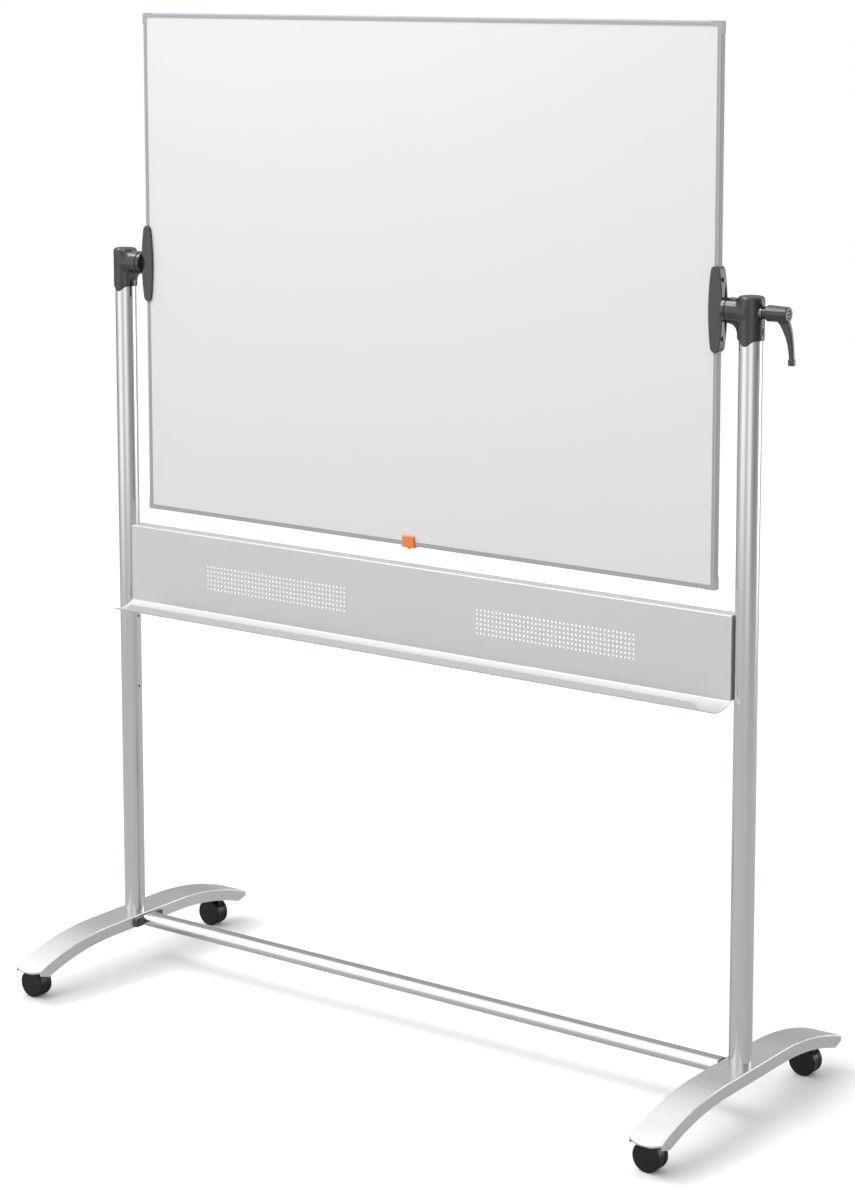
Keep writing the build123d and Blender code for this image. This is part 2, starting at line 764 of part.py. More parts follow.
save_pair(edge_bracket.part, "edge_bracket")

with BuildPart() as bracket_screws:
    for side in (-1, 1):
        for dz in (-bracket_screw_dz, bracket_screw_dz):
            screw_z = pivot_z + dz
            bar_x(2.0, side * (board_width / 2 - rail_web + 0.1), side * bracket_web_x, 0, screw_z)
            bar_x(3.8, side * bracket_web_x, side * (bracket_web_x + 2.2), 0, screw_z)
            bar_x(
                1.3, side * (bracket_web_x + 1.1), side * (bracket_web_x + 3), 0, screw_z, Mode.SUBTRACT
            )
save(bracket_screws.part, "bracket_screws")

with BuildPart() as hub_disc:
    bar_x(hub_disc_radius, bracket_x, hub_disc_end_x, 0, pivot_z)
    chamfer(hub_disc.edges().group_by(Axis.X)[0], length=1.0)
    bar_x(shaft_radius, bracket_x - 1, hub_disc_end_x + 1, 0, pivot_z, Mode.SUBTRACT)
save_pair(hub_disc.part, "hub_disc")

with BuildPart() as shaft_left:
    bar_x(5.5, -board_width / 2 - 0.1, -bracket_x, 0, pivot_z)
    bar_x(shaft_radius, -bracket_x, -shaft_end_x, 0, pivot_z)
save(shaft_left.part, "pivot_shaft_left")

with BuildPart() as shaft_right:
    bar_x(5.5, board_width / 2 + 0.1, bracket_x, 0, pivot_z)
    bar_x(shaft_radius, bracket_x, shaft_end_x, 0, pivot_z)
    bar_x(stud_radius + running_gap, shaft_end_x - 22, shaft_end_x + 1, 0, pivot_z, Mode.SUBTRACT)
save(shaft_right.part, "pivot_shaft_right")


# --------------------------------------------------------------------- clamp
with BuildPart() as clamp_stud:
    bar_x(stud_radius, shaft_end_x - 20, hub_start_x + 0.6, 0, pivot_z)
    bar_x(stud_head_radius, hub_start_x + 0.6, hub_start_x + 12.0, 0, pivot_z)
    chamfer(clamp_stud.edges().group_by(Axis.X)[0], length=0.8)
save(clamp_stud.part, "clamp_stud")

with BuildPart() as clamp_collar:
    bar_x(10.0, washer_end_x + free_gap, collar_end_x, 0, pivot_z)
    bar_x(stud_radius, washer_end_x, collar_end_x + 1, 0, pivot_z, Mode.SUBTRACT)
save(clamp_collar.part, "clamp_collar")

with BuildPart() as clamp_handle:
    with BuildSketch(Plane.XZ):
        with BuildLine():
            Polyline(
                (hub_start_x, pivot_z),
                (hub_start_x, pivot_z + hub_radius - 1.4),
                (hub_start_x + 2.2, pivot_z + hub_radius),
                (hub_start_x + 4.0, pivot_z + hub_radius),
                (hub_end_x - 2.2, pivot_z + hub_radius - 1.0),
                (hub_end_x, pivot_z + hub_radius - 3.2),
                (hub_end_x, pivot_z),
                (hub_start_x, pivot_z),
            )
        make_face()
    revolve(axis=Axis((0, 0, pivot_z), (1, 0, 0)))
    with BuildSketch(Plane.XZ.offset(-lever_half_y)):
        with BuildLine():
            inner_foot = (knob_centre_x - 4.1, knob_top_z)
            outer_foot = (knob_centre_x + 3.7, knob_top_z)
            inner_root = (hub_end_x - 21.0, pivot_z - 10.0)
            outer_root = (hub_end_x - 1.6, pivot_z - 8.0)
            Spline(
                inner_root,
                (hub_end_x - 10.0, pivot_z - 23.5),
                (hub_end_x - 4.7, pivot_z - 35.0),
                (hub_end_x - 0.4, pivot_z - 50.0),
                inner_foot,
            )
            Line(inner_foot, outer_foot)
            Spline(
                outer_foot,
                (hub_end_x + 8.8, pivot_z - 50.0),
                (hub_end_x + 7.1, pivot_z - 35.0),
                (hub_end_x + 4.8, pivot_z - 23.5),
                outer_root,
            )
            Line(outer_root, inner_root)
        make_face()
    extrude(amount=2 * lever_half_y)
    with Locations((knob_centre_x, 0, (knob_low_z + knob_top_z) / 2)):
        Box(2 * knob_half_x, 2 * knob_half_y, knob_top_z - knob_low_z)
    knob = clamp_handle.edges().filter_by(lambda e: e.center().Z < knob_low_z + 0.1)
    fillet(knob, radius=1.6)
    head_gap_radius = stud_head_radius + free_gap
    bar_x(head_gap_radius, hub_start_x - 1, hub_start_x + 14.5, 0, pivot_z, Mode.SUBTRACT)
    bar_x(3.4, hub_start_x, hub_end_x, 0, pivot_z, Mode.SUBTRACT)
    bar_x(6.4, hub_start_x + 22, hub_end_x + 1, 0, pivot_z, Mode.SUBTRACT)
save(clamp_handle.part, "clamp_handle")

with BuildPart() as handle_screw:
    bar_x(2.5, hub_start_x + 12.0, hub_end_x - 3.4, 0, pivot_z)
    bar_x(5.6, hub_end_x - 3.4, hub_end_x - 0.2, 0, pivot_z)
    chamfer(handle_screw.edges().group_by(Axis.X)[-1], length=0.8)
    with BuildSketch(Plane.YZ.offset(hub_end_x - 1.8)):
        with Locations((0, pivot_z)):
            RegularPolygon(radius=2.6, side_count=6)
    extrude(amount=3, mode=Mode.SUBTRACT)
save(handle_screw.part, "clamp_handle_screw")


# ------------------------------------------------------------------ pen clip
with BuildPart() as rail_clip:
    block(-20, 5, -9.2, -board_half_thick - 0.1, 865.5, 885.5)
    block(-20, 5, -9.2, 8.2, 865.5, board_low_z)
    block(-20, 5, board_half_thick + 0.1, 8.2, 865.5, 877.5)
    face_edges = rail_clip.edges().filter_by(lambda e: e.center().Y < -9.1)
    fillet(face_edges, radius=1.4)
    with Locations((-7.5, -4.0, 864.3)):
        Box(3.4, 5.0, 3.0)
save(rail_clip.part, "rail_clip")
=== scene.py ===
import math

import bpy
import numpy as np
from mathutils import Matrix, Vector


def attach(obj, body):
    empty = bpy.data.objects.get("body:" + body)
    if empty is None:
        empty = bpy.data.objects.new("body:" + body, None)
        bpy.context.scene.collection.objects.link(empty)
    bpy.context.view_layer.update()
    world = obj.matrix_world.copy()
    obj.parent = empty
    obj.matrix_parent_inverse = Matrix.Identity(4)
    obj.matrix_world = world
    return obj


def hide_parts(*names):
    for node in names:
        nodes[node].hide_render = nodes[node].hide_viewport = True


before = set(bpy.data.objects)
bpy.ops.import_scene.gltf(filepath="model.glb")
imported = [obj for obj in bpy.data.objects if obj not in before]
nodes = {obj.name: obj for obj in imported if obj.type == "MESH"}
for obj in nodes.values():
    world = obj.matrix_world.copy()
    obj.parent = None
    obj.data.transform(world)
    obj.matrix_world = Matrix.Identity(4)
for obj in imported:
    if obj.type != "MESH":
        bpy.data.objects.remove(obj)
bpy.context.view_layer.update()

X, Y, Z = range(3)

# ------------------------------------------------------------------- camera
CAMERA_AT = (2.9217, -3.9162, 1.8583)
CAMERA_YAW = 36.126
CAMERA_DOWN = 7.964
SENSOR_WIDTH = 36.0
LENS = 87.2
SHIFT_X = -0.0139
SHIFT_Y = -0.193
VIEW_END = 200.0

# ------------------------------------------------------------------- studio
# Radiance round the horizon, by azimuth in degrees: 0 is the front (-Y), 90 the right (+X).
HORIZON = (
    (-180, 0.5), (-144, 0.4), (-98, 0.35), (-64, 0.75), (-46, 1.35), (-24, 1.35),
    (2, 0.65), (26, 1.25), (40, 1.25), (56, 0.55), (78, 0.3), (108, 0.35),
    (126, 0.8), (136, 2.8), (154, 2.5), (166, 0.5), (180, 0.5),
)
HORIZON_END = 0.32
OVERHEAD_START = 0.78
OVERHEAD = 1.15
OVERHEAD_TILT = 0.6
PANEL_WAY = (-0.57, -0.15, 0.78)
PANEL_RADIUS = 9.0
PANEL_RADIANCE = 11.0
PANEL_EDGE = 0.02
BACKGROUND = 1.0
SKY_TINT = (0.992, 0.996, 1.0)

FLOOR_SIDES = 96
FLOOR_CLEAR = 3.0
FLOOR_EDGE = 6.5
FLOOR_BOUNCE = 0.42
FLOOR_SHOWN = (0.95, 0.97)
FLOOR_GRAIN = 40.0
FLOOR_ROUGHNESS = 0.6

KEY_AT = (-0.35, -1.3, 3.0)
KEY_TARGET = (-0.1, 0.0, 1.8)
KEY_SIZE = (1.4, 0.5)
KEY_POWER = 16.0

# ---------------------------------------------------------------- materials
# Metals have fine lines drawn along one axis; lines is their noise scale and depth their height.
METALS = {
    "post_silver": dict(
        colour=(0.70, 0.707, 0.714), spread=0.006, rough=0.17, rough_spread=0.012,
        along=Z, lines=2600.0, depth=4e-7,
    ),
    "foot_silver": dict(
        colour=(0.69, 0.696, 0.694), spread=0.008, rough=0.29, rough_spread=0.02,
        along=Y, lines=2400.0, depth=8e-7, metallic=0.93,
    ),
    "tray_silver": dict(
        colour=(0.62, 0.628, 0.635), spread=0.006, rough=0.46, rough_spread=0.02,
        along=X, lines=2400.0, depth=6e-7, metallic=0.45,
    ),
    "frame_silver": dict(
        colour=(0.37, 0.38, 0.39), spread=0.01, rough=0.4, rough_spread=0.03,
        along=X, lines=2400.0, depth=8e-7, metallic=0.0,
    ),
    "bright_steel": dict(
        colour=(0.55, 0.55, 0.54), spread=0.03, rough=0.24, rough_spread=0.05,
        along=X, lines=1200.0, depth=3e-6,
    ),
    "dark_steel": dict(
        colour=(0.05, 0.05, 0.05), spread=0.01, rough=0.35, rough_spread=0.05,
        along=X, lines=1200.0, depth=3e-6,
    ),
    # Steel with its colour darkened as painted shade, standing for steel seen dark in shade
    # rather than for wear.
    "shade_darkened_steel": dict(
        colour=(0.16, 0.16, 0.165), spread=0.03, rough=0.3, rough_spread=0.05,
        along=X, lines=1200.0, depth=3e-6, metallic=0.9,
    ),
}

# Moulded pieces have a pebbled grain; grain is its noise scale and depth its height.
MOULDED = {
    "corner_silver": dict(
        colour=(0.36, 0.37, 0.37), spread=0.01, rough=0.38, rough_spread=0.05,
        grain=1500.0, depth=4e-6,
    ),
    "core_board": dict(
        colour=(0.42, 0.31, 0.19), spread=0.08, rough=0.8, rough_spread=0.05,
        grain=600.0, depth=5e-5,
    ),
    "dark_grey_plastic": dict(
        colour=(0.018, 0.0195, 0.021), spread=0.002, rough=0.22, rough_spread=0.03,
        grain=2200.0, depth=2e-6, shine=0.75,
    ),
    "lever_black": dict(
        colour=(0.012, 0.013, 0.0142), spread=0.002, rough=0.22, rough_spread=0.03,
        grain=2200.0, depth=2e-6, shine=0.75,
    ),
    "black_plastic": dict(
        colour=(0.008, 0.008, 0.009), spread=0.002, rough=0.42, rough_spread=0.05,
        grain=1800.0, depth=8e-6,
    ),
    "castor_hood_black": dict(
        colour=(0.004, 0.0044, 0.005), spread=0.001, rough=0.26, rough_spread=0.04,
        grain=1500.0, depth=3e-6, shine=0.4,
    ),
    "wheel_black": dict(
        colour=(0.0045, 0.005, 0.0055), spread=0.001, rough=0.3, rough_spread=0.05,
        grain=1500.0, depth=4e-6, shine=0.4,
    ),
    "mid_grey_plastic": dict(
        colour=(0.10, 0.102, 0.105), spread=0.006, rough=0.4, rough_spread=0.04,
        grain=1800.0, depth=6e-6,
    ),
    "orange_plastic": dict(
        colour=(0.86, 0.20, 0.015), spread=0.02, rough=0.3, rough_spread=0.04,
        grain=1500.0, depth=5e-6, coat=0.2,
    ),
}

ENAMELS = {"writing_white": (0.70, 0.703, 0.699)}

# Nodes that take another finish than the one their slot names; the washer and screws take steel
# whose colour is darkened as painted shade.
OTHER_FINISH = {
    "bracket_screws": "shade_darkened_steel",
    "crossbar_screws": "shade_darkened_steel",
    "clamp_washer": "shade_darkened_steel",
    "clamp_handle_screw": "shade_darkened_steel",
    "crossbar_bracket_left": "mid_grey_plastic",
    "crossbar_bracket_right": "mid_grey_plastic",
    "tray_bracket_left": "corner_silver",
    "tray_bracket_right": "corner_silver",
}

# ------------------------------------- pivot housings and lever, in millimetres
PIVOT_Z = 1318.0
POST_X = 656.0

SLEEVE_RADIUS = 21.3
SLEEVE_TOP_Z = 1344.0
SLEEVE_DOME = 260.0
SLEEVE_SIDE_Z = 1273.0
SLEEVE_LOBE_Z = 1264.3
SLEEVE_LOBE_HALF_X = 16.0
BOSS_RADIUS = 20.3
BOSS_END_X = 617.5
BOSS_ROUNDING = 1.2
WEB_REACH = 19.2
WEB_DROP = 21.0
WEB_BEND_RADIUS = 22.8
WEB_HALF_Y = 9.0
POST_HOLE_RADIUS = 19.1
POST_HOLE_LOW_Z = 1200.0
POST_HOLE_TOP_Z = 1297.0
BUSH_HOLE_RADIUS = 10.05
BUSH_HOLE_END_X = 650.0
SIDE_SCREW_Z = 1287.5
SIDE_SCREW_RADIUS = 5.5
STUD_HOLE_RADIUS = 4.4
STUD_HOLE_START_X = 640.0
STUD_HOLE_END_X = 700.0
HOUSING_BOX = ((BOSS_END_X - 1, -23.0, 1262.0), (POST_X + 23, 23.0, 1346.0))
HOUSING_STEP = 0.8

HUB_START_X = 686.2
HUB_END_X = 723.0
HUB_RADIUS = 13.0
HUB_TAPER = 1.0
HUB_TAPER_START_X = 690.0
HUB_ROUNDING = 1.6
# The arm's middle line and half widths, from its tip up to the hub.
ARM_Z = (1238.0, 1249.0, 1255.0, 1263.4, 1272.5, 1283.0, 1294.1, 1301.5, 1309.0, 1318.0)
ARM_X = (729.1, 729.0, 728.7, 727.9, 726.6, 724.2, 720.6, 717.2, 712.6, 706.0)
ARM_HALF_X = (3.9, 3.9, 3.95, 4.35, 4.8, 5.9, 7.5, 8.6, 10.2, 12.0)
ARM_HALF_Y = (3.7, 3.7, 3.7, 3.75, 3.8, 4.0, 4.2, 4.4, 4.6, 4.8)
ARM_MIDDLE_Z = 1280.0
ARM_HALF_Z = 36.0
ARM_ROUNDING = 2.0
KNOB_AT = (729.2, 0.0, 1243.8)
KNOB_HALF = (4.9, 4.4, 5.2)
KNOB_ROUNDING = 1.5
STUD_SOCKET_RADIUS = 7.4
STUD_SOCKET_START_X = 680.0
STUD_SOCKET_END_X = 700.7
HANDLE_SCREW_RADIUS = 3.4
HANDLE_SCREW_START_X = 690.0
HANDLE_HEAD_RADIUS = 6.4
HANDLE_HEAD_START_X = 708.2
HANDLE_HOLES_END_X = 730.0
LEVER_BOX = ((685.0, -14.5, 1236.0), (736.0, 14.5, 1332.5))
LEVER_STEP = 0.6

# Factors on distances that grow faster than one per millimetre.
HEM_SLOPE = 0.8
ARM_SLOPE = 0.85

# Edges between faces that turn by more than this are shaded sharp.
SHARP_ANGLE = 38.0


# ------------------------------------------------------------- node helpers
class Tree:
    """Short calls for building a node tree."""

    def __init__(self, tree):
        self.tree = tree
        self.tree.nodes.clear()

    def node(self, kind, **inputs):
        """New node; keyword arguments set properties, or inputs by name with _ for a space."""
        made = self.tree.nodes.new(kind)
        for key, value in inputs.items():
            if hasattr(made, key):
                setattr(made, key, value)
            else:
                self.feed(made.inputs[key.replace("_", " ")], value)
        return made

    def feed(self, socket, value):
        """Links a socket to another node's output, or sets its value."""
        if isinstance(value, bpy.types.NodeSocket):
            self.tree.links.new(value, socket)
        else:
            socket.default_value = value

    def feed_all(self, made, values):
        """Feeds a node's first inputs in order."""
        for socket, value in zip(made.inputs, values):
            self.feed(socket, value)

    def math(self, operation, a, b=0.0, c=0.0):
        made = self.node("ShaderNodeMath", operation=operation)
        self.feed_all(made, (a, b, c))
        return made.outputs[0]

    def remap(self, value, from_low, from_high, to_low, to_high):
        """Smooth step from one range to another, held at its ends."""
        made = self.node("ShaderNodeMapRange", interpolation_type="SMOOTHSTEP")
        self.feed_all(made, (value, from_low, from_high, to_low, to_high))
        return made.outputs[0]

    def ramp(self, value, stops):
        """Colour ramp through (position, colour) stops."""
        made = self.tree.nodes.new("ShaderNodeValToRGB")
        elements = made.color_ramp.elements
        while len(elements) > 1:
            elements.remove(elements[-1])
        elements[0].position = stops[0][0]
        elements[0].color = opaque(stops[0][1])
        for position, colour in stops[1:]:
            elements.new(position).color = opaque(colour)
        self.feed(made.inputs[0], value)
        return made.outputs[0]

    def mix(self, share, a, b, kind="RGBA"):
        """Blend of two colours, or of two numbers for the kind FLOAT."""
        made = self.node("ShaderNodeMix", data_type=kind)
        first, second, result = {"RGBA": (6, 7, 2), "FLOAT": (2, 3, 0)}[kind]
        self.feed(made.inputs[0], share)
        self.feed(made.inputs[first], a)
        self.feed(made.inputs[second], b)
        return made.outputs[result]


def opaque(colour):
    return (*colour, 1.0)


def grey(value):
    return (value, value, value)


# --------------------------------------------------- camera, light and floor
def make_camera():
    """Camera in front and to the right, looking slightly down."""
    data = bpy.data.cameras.new("camera")
    data.sensor_width = SENSOR_WIDTH
    data.lens = LENS
    data.shift_x = SHIFT_X
    data.shift_y = SHIFT_Y
    data.clip_end = VIEW_END
    camera = bpy.data.objects.new("camera", data)
    camera.location = CAMERA_AT
    camera.rotation_euler = (math.radians(90.0 - CAMERA_DOWN), 0.0, math.radians(CAMERA_YAW))
    bpy.context.scene.collection.objects.link(camera)
    bpy.context.scene.camera = camera
    bpy.context.scene.view_settings.view_transform = "Standard"


def horizon_level(t, parts):
    """Radiance from the horizon's table, by azimuth."""
    azimuth = t.math("ARCTAN2", parts.outputs[X], t.math("MULTIPLY", parts.outputs[Y], -1.0))
    turn = t.math("MULTIPLY_ADD", azimuth, 0.5 / math.pi, 0.5)
    top = max(level for _, level in HORIZON)
    stops = [((angle + 180) / 360, grey(level / top)) for angle, level in HORIZON]
    return t.math("MULTIPLY", t.ramp(turn, stops), top)


def add_panel(t, way, level):
    """Adds a round bright panel to the sky's radiance."""
    facing = t.node("ShaderNodeVectorMath", operation="DOT_PRODUCT")
    t.feed_all(facing, (way, Vector(PANEL_WAY).normalized()))
    rim = math.cos(math.radians(PANEL_RADIUS))
    inside = t.remap(facing.outputs["Value"], rim - PANEL_EDGE, rim + PANEL_EDGE, 0.0, 1.0)
    return t.math("MULTIPLY_ADD", inside, PANEL_RADIANCE, level)


def make_world():
    """Studio that lights the object, with a plain pale background for the camera."""
    world = bpy.data.worlds.new("studio")
    world.use_nodes = True
    t = Tree(world.node_tree)
    way = t.node("ShaderNodeTexCoord").outputs["Generated"]
    parts = t.node("ShaderNodeSeparateXYZ", Vector=way)
    horizon = horizon_level(t, parts)
    height = t.remap(parts.outputs[Z], HORIZON_END, OVERHEAD_START, 0.0, 1.0)
    overhead = t.math("MULTIPLY_ADD", parts.outputs[X], -OVERHEAD_TILT, OVERHEAD)
    level = add_panel(t, way, t.mix(height, horizon, overhead, "FLOAT"))
    seen = t.node("ShaderNodeLightPath").outputs["Is Camera Ray"]
    shown = t.mix(seen, level, BACKGROUND, "FLOAT")
    light = t.node("ShaderNodeBackground", Color=opaque(SKY_TINT), Strength=shown)
    t.node("ShaderNodeOutputWorld", Surface=light.outputs[0])
    bpy.context.scene.world = world


def floor_material():
    """Pale floor that fades out past the object and bounces less light than it shows."""
    material = bpy.data.materials.new("floor_pale")
    material.use_nodes = True
    t = Tree(material.node_tree)
    place = t.node("ShaderNodeTexCoord").outputs["Object"]
    reach = t.node("ShaderNodeVectorMath", operation="LENGTH")
    t.feed(reach.inputs[0], place)
    solid = t.remap(reach.outputs["Value"], FLOOR_CLEAR, FLOOR_EDGE, 1.0, 0.0)
    grain = t.node("ShaderNodeTexNoise", Vector=place, Scale=FLOOR_GRAIN, Detail=4.0)
    shown = t.mix(grain.outputs["Fac"], *[opaque(grey(value)) for value in FLOOR_SHOWN])
    seen = t.node("ShaderNodeLightPath").outputs["Is Camera Ray"]
    colour = t.mix(seen, opaque(grey(FLOOR_BOUNCE)), shown)
    surface = t.node(
        "ShaderNodeBsdfPrincipled", Base_Color=colour, Roughness=FLOOR_ROUGHNESS, Alpha=solid
    )
    t.node("ShaderNodeOutputMaterial", Surface=surface.outputs[0])
    return material


def make_floor():
    """Round floor under the object."""
    mesh = bpy.data.meshes.new("floor")
    angles = [2 * math.pi * k / FLOOR_SIDES for k in range(FLOOR_SIDES)]
    rim = [(FLOOR_EDGE * math.cos(a), FLOOR_EDGE * math.sin(a), 0.0) for a in angles]
    mesh.from_pydata(rim, [], [tuple(range(FLOOR_SIDES))])
    mesh.materials.append(floor_material())
    floor = bpy.data.objects.new("floor", mesh)
    bpy.context.scene.collection.objects.link(floor)


def make_key_light():
    """Soft light above the board, aimed at its upper part and hidden from the camera."""
    data = bpy.data.lights.new("key", "AREA")
    data.shape = "RECTANGLE"
    data.size, data.size_y = KEY_SIZE
    data.energy = KEY_POWER
    light = bpy.data.objects.new("key", data)
    light.location = KEY_AT
    light.visible_camera = False
    aim = Vector(KEY_TARGET) - Vector(KEY_AT)
    light.rotation_euler = aim.to_track_quat("-Z", "Y").to_euler()
    bpy.context.scene.collection.objects.link(light)


# ----------------------------------------------------------------- finishes
def new_material(name):
    """Material, its tree, the object's coordinates and its shader."""
    material = bpy.data.materials.new(name)
    material.use_nodes = True
    t = Tree(material.node_tree)
    place = t.node("ShaderNodeTexCoord").outputs["Object"]
    surface = t.node("ShaderNodeBsdfPrincipled")
    t.node("ShaderNodeOutputMaterial", Surface=surface.outputs[0])
    return material, t, place, surface


def stretched(t, place, scale):
    """The object's coordinates scaled by (x, y, z)."""
    return t.node("ShaderNodeMapping", Vector=place, Scale=scale).outputs[0]


def noise(t, vector, scale, detail=3.0, roughness=0.5):
    made = t.node(
        "ShaderNodeTexNoise", Vector=vector, Scale=scale, Detail=detail, Roughness=roughness
    )
    return made.outputs["Fac"]


def tint(t, surface, share, colour, spread):
    """Base colour that varies by the spread either way."""
    low = [max(c - spread, 0.0) for c in colour]
    high = [c + spread for c in colour]
    t.feed(surface.inputs["Base Color"], t.mix(share, opaque(low), opaque(high)))


def vary_roughness(t, surface, share, rough, rough_spread):
    """Roughness that follows a noise."""
    varied = t.remap(share, 0.3, 0.7, rough - rough_spread, rough + rough_spread)
    t.feed(surface.inputs["Roughness"], varied)


def bump(t, surface, height, distance):
    made = t.node("ShaderNodeBump", Height=height, Distance=distance, Strength=1.0)
    t.feed(surface.inputs["Normal"], made.outputs[0])


def finish_metal(name, colour, spread, rough, rough_spread, along, lines, depth, metallic=1.0):
    """Aluminium or painted metal with fine lines drawn along one axis."""
    material, t, place, surface = new_material(name)
    scale = [1.0, 1.0, 1.0]
    scale[along] = 0.012
    drawn = noise(t, stretched(t, place, scale), lines, 2.0)
    cloud = noise(t, place, 9.0, 4.0)
    tint(t, surface, t.remap(drawn, 0.3, 0.7, 0.0, 1.0), colour, spread)
    vary_roughness(t, surface, cloud, rough, rough_spread)
    t.feed(surface.inputs["Metallic"], metallic)
    bump(t, surface, drawn, depth)
    return material


def finish_moulded(name, colour, spread, rough, rough_spread, grain, depth, coat=0.0, shine=0.5):
    """Moulded plastic or board with a fine pebbled grain."""
    material, t, place, surface = new_material(name)
    pebble = noise(t, place, grain, 3.0, 0.6)
    cloud = noise(t, place, 14.0, 4.0)
    tint(t, surface, cloud, colour, spread)
    vary_roughness(t, surface, pebble, rough, rough_spread)
    t.feed(surface.inputs["Specular IOR Level"], shine)
    t.feed(surface.inputs["Coat Weight"], coat)
    t.feed(surface.inputs["Coat Roughness"], 0.25)
    bump(t, surface, pebble, depth)
    return material


def finish_enamel(name, colour):
    """Glossy enamelled steel with an orange-peel ripple and faint dry-wipe streaks."""
    material, t, place, surface = new_material(name)
    ripple = noise(t, place, 220.0)
    wiped = noise(t, stretched(t, place, (0.9, 1.0, 5.0)), 3.0, 5.0, 0.62)
    streak = noise(t, stretched(t, place, (6.0, 1.0, 60.0)), 2.0, 4.0)
    tint(t, surface, wiped, colour, 0.006)
    cloudy = t.remap(wiped, 0.35, 0.7, 0.17, 0.23)
    streaked = t.remap(streak, 0.4, 0.75, 0.0, 0.05)
    t.feed(surface.inputs["Roughness"], t.math("ADD", cloudy, streaked))
    t.feed(surface.inputs["Coat Weight"], 0.2)
    t.feed(surface.inputs["Coat Roughness"], 0.12)
    bump(t, surface, ripple, 1e-6)
    return material


def make_materials():
    """Every finish by name."""
    made = {name: finish_metal(name, **values) for name, values in METALS.items()}
    for name, values in MOULDED.items():
        made[name] = finish_moulded(name, **values)
    for name, colour in ENAMELS.items():
        made[name] = finish_enamel(name, colour)
    return made


def dress_nodes(materials):
    """Puts the finishes on the nodes, by the name of each slot's material."""
    for name, node in nodes.items():
        for place in node.material_slots:
            slot_name = place.material.name.split(".")[0]
            place.material = materials[OTHER_FINISH.get(name, slot_name)]


# ------------------------------------------------ shapes as signed distances
def soft_union(a, b, blend):
    """Both shapes, joined by a fillet."""
    share = np.clip(0.5 + 0.5 * (b - a) / blend, 0.0, 1.0)
    return a * share + b * (1.0 - share) - blend * share * (1.0 - share)


def soft_common(a, b, blend):
    """What both shapes share, with a rounded edge."""
    return -soft_union(-a, -b, blend)


def soft_cut(solid, holes, blend):
    """A shape with holes, whose rims are rounded."""
    for hole in holes:
        solid = soft_common(solid, -hole, blend)
    return solid


def rod(across, along, radius, low, high, rounding=0.0):
    """Distance to a round bar, from the distance to its axis and the place along it."""
    side = across - radius + rounding
    end = np.abs(along - (low + high) / 2) - (high - low) / 2 + rounding
    outside = np.hypot(np.maximum(side, 0.0), np.maximum(end, 0.0))
    return outside + np.minimum(np.maximum(side, end), 0.0) - rounding


def soft_box(parts, rounding):
    """Distance to a rounded box, from each axis's distance past its face."""
    past = [part + rounding for part in parts]
    outside = np.sqrt(sum(np.maximum(part, 0.0) ** 2 for part in past))
    deepest = past[0]
    for part in past[1:]:
        deepest = np.maximum(deepest, part)
    return outside + np.minimum(deepest, 0.0) - rounding


def sleeve_hem(x, z):
    """Distance to the sleeve's wavy lower edge, which dips at the front and back."""
    lobe = 0.5 + 0.5 * np.cos(np.pi * np.clip((x - POST_X) / SLEEVE_LOBE_HALF_X, -1.0, 1.0))
    hem = SLEEVE_SIDE_Z + (SLEEVE_LOBE_Z - SLEEVE_SIDE_Z) * lobe
    return HEM_SLOPE * (hem - z)


def housing_web(x, y, z):
    """Thin web with a hollow edge, in the corner under the boss."""
    bend_x = POST_X - SLEEVE_RADIUS - WEB_REACH
    bend_z = PIVOT_Z - BOSS_RADIUS - WEB_DROP
    web = WEB_BEND_RADIUS - np.hypot(x - bend_x, z - bend_z)
    bounds = (np.abs(y) - WEB_HALF_Y, bend_x + 1 - x, x - POST_X, z - PIVOT_Z, bend_z + 1 - z)
    for bound in bounds:
        web = np.maximum(web, bound)
    return web


def housing(x, y, z):
    """T-shaped housing: a sleeve over the post blended into a boss towards the board."""
    from_post = np.hypot(x - POST_X, y)
    from_pivot = np.hypot(y, z - PIVOT_Z)
    dome = z - (SLEEVE_TOP_Z - from_post**2 / SLEEVE_DOME)
    hem = sleeve_hem(x, z)
    sleeve = soft_common(from_post - SLEEVE_RADIUS, dome, 6.0)
    sleeve = soft_common(sleeve, hem, 1.6)
    boss = rod(from_pivot, x, BOSS_RADIUS, BOSS_END_X, POST_X, BOSS_ROUNDING)
    solid = soft_union(soft_union(sleeve, boss, 5.0), housing_web(x, y, z), 4.0)
    solid = soft_common(solid, hem, 1.2)
    from_screw = np.hypot(y, z - SIDE_SCREW_Z)
    holes = (
        rod(from_post, z, POST_HOLE_RADIUS, POST_HOLE_LOW_Z, POST_HOLE_TOP_Z),
        rod(from_pivot, x, BUSH_HOLE_RADIUS, BOSS_END_X - 5, BUSH_HOLE_END_X),
        rod(from_screw, x, SIDE_SCREW_RADIUS, POST_X + 10, POST_X + 40),
    )
    return soft_cut(solid, holes, 0.5)


def housing_with_stud_hole(x, y, z):
    """The housing on the clamp's side, which the stud passes through."""
    from_pivot = np.hypot(y, z - PIVOT_Z)
    stud_hole = rod(from_pivot, x, STUD_HOLE_RADIUS, STUD_HOLE_START_X, STUD_HOLE_END_X)
    return np.maximum(housing(x, y, z), -stud_hole)


def lever_arm(x, y, z):
    """Slim arm that curves down from the hub."""
    past = (
        np.abs(x - np.interp(z, ARM_Z, ARM_X)) - np.interp(z, ARM_Z, ARM_HALF_X),
        np.abs(y) - np.interp(z, ARM_Z, ARM_HALF_Y),
        np.abs(z - ARM_MIDDLE_Z) - ARM_HALF_Z,
    )
    return ARM_SLOPE * soft_box(past, ARM_ROUNDING)


